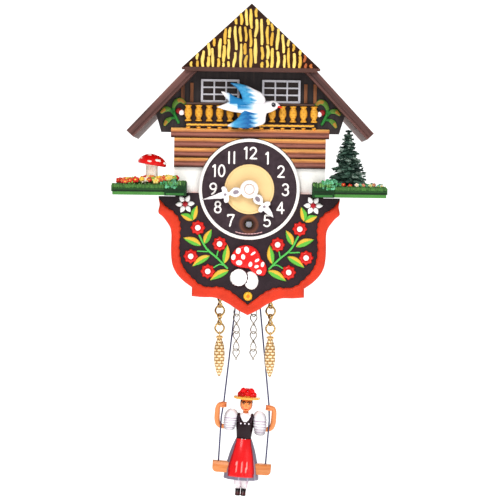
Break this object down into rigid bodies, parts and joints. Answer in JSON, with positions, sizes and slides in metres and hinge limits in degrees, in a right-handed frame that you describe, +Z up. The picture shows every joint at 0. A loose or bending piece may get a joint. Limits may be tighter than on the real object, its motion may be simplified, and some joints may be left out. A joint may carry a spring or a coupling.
{
  "type": "cuckoo clock",
  "caption": "Miniature key-wound chalet wall clock with a hipped thatch roof, white-handed dial on a flowered shield, rocking bird, hanging chains and a doll on a cord swing",
  "frame": {"origin": "centre of the hanging hole, on the back face of the back board", "axes": "X to the right as seen from the front, Y from the dial back toward the wall, Z up; the wall is the plane y = 0 and the clock lies at y below 0"},
  "size_m": [0.1466, 0.062, 0.269],
  "materials": {
    "case_wood": "stained softwood boards with visible grain",
    "roof_wood": "brown stained roof boards with carved grain",
    "reed": "moulded reed thatch, painted straw yellow on dark brown",
    "plaster": "white plaster band beside the dial, dark stained boards in the gable above it",
    "window_white": "white painted window bars",
    "pane": "dark painted panes",
    "railing_gold": "golden yellow painted balusters",
    "log_brown": "brown painted logs with orange highlights",
    "leaf_green": "painted leaves with yellow tips",
    "shield_orange": "orange red raised border round a dark violet grey field",
    "relief_paint": "painted relief in red, green, white and yellow",
    "dial_dark": "dark violet grey dial",
    "dial_white": "white moulded ring and numbers",
    "dial_cream": "cream centre disc",
    "shelf_green": "green painted ledge with a lighter lower lip",
    "toadstool_red": "red cap with white spots on a pale stem",
    "pine_green": "dark green moulded needles",
    "flower_paint": "small painted flowers and mint green shrubs",
    "brass": "machined brass",
    "steel": "plain steel",
    "spring_steel": "blued spring steel",
    "hand_white": "white moulded hands",
    "cord": "dark blue grey cord",
    "seat_wood": "orange varnished wood",
    "doll_dress": "maroon vest, red apron and violet grey skirt",
    "doll_head": "skin, dark hair and a straw hat with red pompoms",
    "doll_skin": "white pleated sleeves and bare forearms",
    "doll_shoes": "white stockings and black shoes",
    "bird_blue": "blue and white painted bird with a red beak",
    "chain_gold": "gold coloured wire links",
    "cone_gold": "gold lacquered cast pine cones with brown in their grooves",
    "chain_silver": "silver coloured wire links"
  },
  "bodies": {
    "case": {"back_board": "case_wood", "case_side_left": "case_wood", "case_side_right": "case_wood", "case_floor": "case_wood", "roof_board_left": "roof_wood", "roof_board_right": "roof_wood", "hip_roof": "reed", "facade": "plaster", "windows": "window_white", "window_panes": "pane", "balcony_railing": "railing_gold", "log_siding": "log_brown", "gable_leaves": "leaf_green", "shield": "shield_orange", "shield_relief": "relief_paint", "dial_plate": "dial_dark", "dial_ring": "dial_white", "dial_numbers": "dial_white", "dial_disc": "dial_cream", "shelf_left": "shelf_green", "shelf_right": "shelf_green", "toadstool": "toadstool_red", "pine_tree": "pine_green", "flowers_left": "flower_paint", "flowers_right": "flower_paint", "front_plate": "brass", "back_plate": "brass", "pillars": "steel", "mainspring": "spring_steel", "chain_eyes": "steel", "back_screws": "brass"},
    "centre": {"centre_wheel": "brass", "cannon_pinion": "brass", "minute_hand": "hand_white", "hand_nut": "hand_white"},
    "hour": {"hour_wheel": "brass", "hour_hand": "hand_white"},
    "minute_train": {"minute_wheel": "brass"},
    "great": {"great_wheel": "brass"},
    "winder": {"winding_arbor": "steel", "ratchet_wheel": "steel"},
    "pawl": {"click": "steel"},
    "third": {"third_wheel": "brass"},
    "escape": {"escape_wheel": "brass"},
    "pallets": {"anchor": "steel", "pendulum_wire": "steel"},
    "bird_rocker": {"bird": "bird_blue", "bird_lever": "steel"},
    "swing": {"swing_cords": "cord", "swing_seat": "seat_wood", "doll_body": "doll_dress", "doll_head": "doll_head", "doll_arms": "doll_skin", "doll_legs": "doll_shoes"},
    "chain_ol": {"chain_outer_left": "chain_gold", "cone_weight_left": "cone_gold"},
    "chain_or": {"chain_outer_right": "chain_gold", "cone_weight_right": "cone_gold"},
    "chain_il": {"chain_inner_left": "chain_silver"},
    "chain_ir": {"chain_inner_right": "chain_silver"}
  },
  "joints": [
    {"name": "centre_turn", "type": "hinge", "parent": "case", "child": "centre", "pos_m": [0, -0.04, -0.052], "axis": [0, 1, 0], "continuous": true},
    {"name": "hour_turn", "type": "hinge", "parent": "case", "child": "hour", "pos_m": [0, -0.045, -0.052], "axis": [0, 1, 0], "continuous": true},
    {"name": "minute_wheel_turn", "type": "hinge", "parent": "case", "child": "minute_train", "pos_m": [0.0084, -0.042, -0.052], "axis": [0, 1, 0], "continuous": true},
    {"name": "great_turn", "type": "hinge", "parent": "case", "child": "great", "pos_m": [0, -0.0316, -0.07072], "axis": [0, 1, 0], "continuous": true},
    {"name": "third_turn", "type": "hinge", "parent": "case", "child": "third", "pos_m": [0.00958, -0.03, -0.04174], "axis": [0, 1, 0], "continuous": true},
    {"name": "escape_turn", "type": "hinge", "parent": "case", "child": "escape", "pos_m": [0, -0.03, -0.033], "axis": [0, 1, 0], "continuous": true},
    {"name": "winding", "type": "hinge", "parent": "great", "child": "winder", "pos_m": [0, -0.03, -0.07072], "axis": [0, 1, 0], "range_deg": [0, 1620]},
    {"name": "click_lift", "type": "hinge", "parent": "great", "child": "pawl", "pos_m": [0, -0.0303, -0.05912], "axis": [0, 1, 0], "range_deg": [0, 12], "stiffness_Nm_per_rad": 0.0002},
    {"name": "pendulum_swing", "type": "hinge", "parent": "case", "child": "pallets", "pos_m": [0, -0.03, -0.0225], "axis": [0, 1, 0], "range_deg": [-5, 5]},
    {"name": "bird_rock", "type": "hinge", "parent": "case", "child": "bird_rocker", "pos_m": [0, -0.05, -0.0075], "axis": [0, 1, 0], "range_deg": [-7.6, 7.6]},
    {"name": "swing_pitch", "type": "hinge", "parent": "pallets", "child": "swing", "pos_m": [0, -0.016, -0.052], "axis": [1, 0, 0], "range_deg": [-6, 3]},
    {"name": "chain_ol_sway", "type": "hinge", "parent": "case", "child": "chain_ol", "pos_m": [-0.015, -0.038, -0.1052], "axis": [1, 0, 0], "range_deg": [-5, 5]},
    {"name": "chain_or_sway", "type": "hinge", "parent": "case", "child": "chain_or", "pos_m": [0.0124, -0.038, -0.1052], "axis": [1, 0, 0], "range_deg": [-5, 5]},
    {"name": "chain_il_sway", "type": "hinge", "parent": "case", "child": "chain_il", "pos_m": [-0.0059, -0.038, -0.1052], "axis": [1, 0, 0], "range_deg": [-5, 5]},
    {"name": "chain_ir_sway", "type": "hinge", "parent": "case", "child": "chain_ir", "pos_m": [0.0033, -0.038, -0.1052], "axis": [1, 0, 0], "range_deg": [-5, 5]}
  ],
  "couplings": [
    {"joint": "hour_turn", "follows": "centre_turn", "ratio": 0.083333},
    {"joint": "minute_wheel_turn", "follows": "centre_turn", "ratio": -0.33333},
    {"joint": "great_turn", "follows": "centre_turn", "ratio": -0.125},
    {"joint": "third_turn", "follows": "centre_turn", "ratio": -12},
    {"joint": "escape_turn", "follows": "centre_turn", "ratio": 150},
    {"joint": "bird_rock", "follows": "pendulum_swing", "ratio": -1.5}
  ]
}
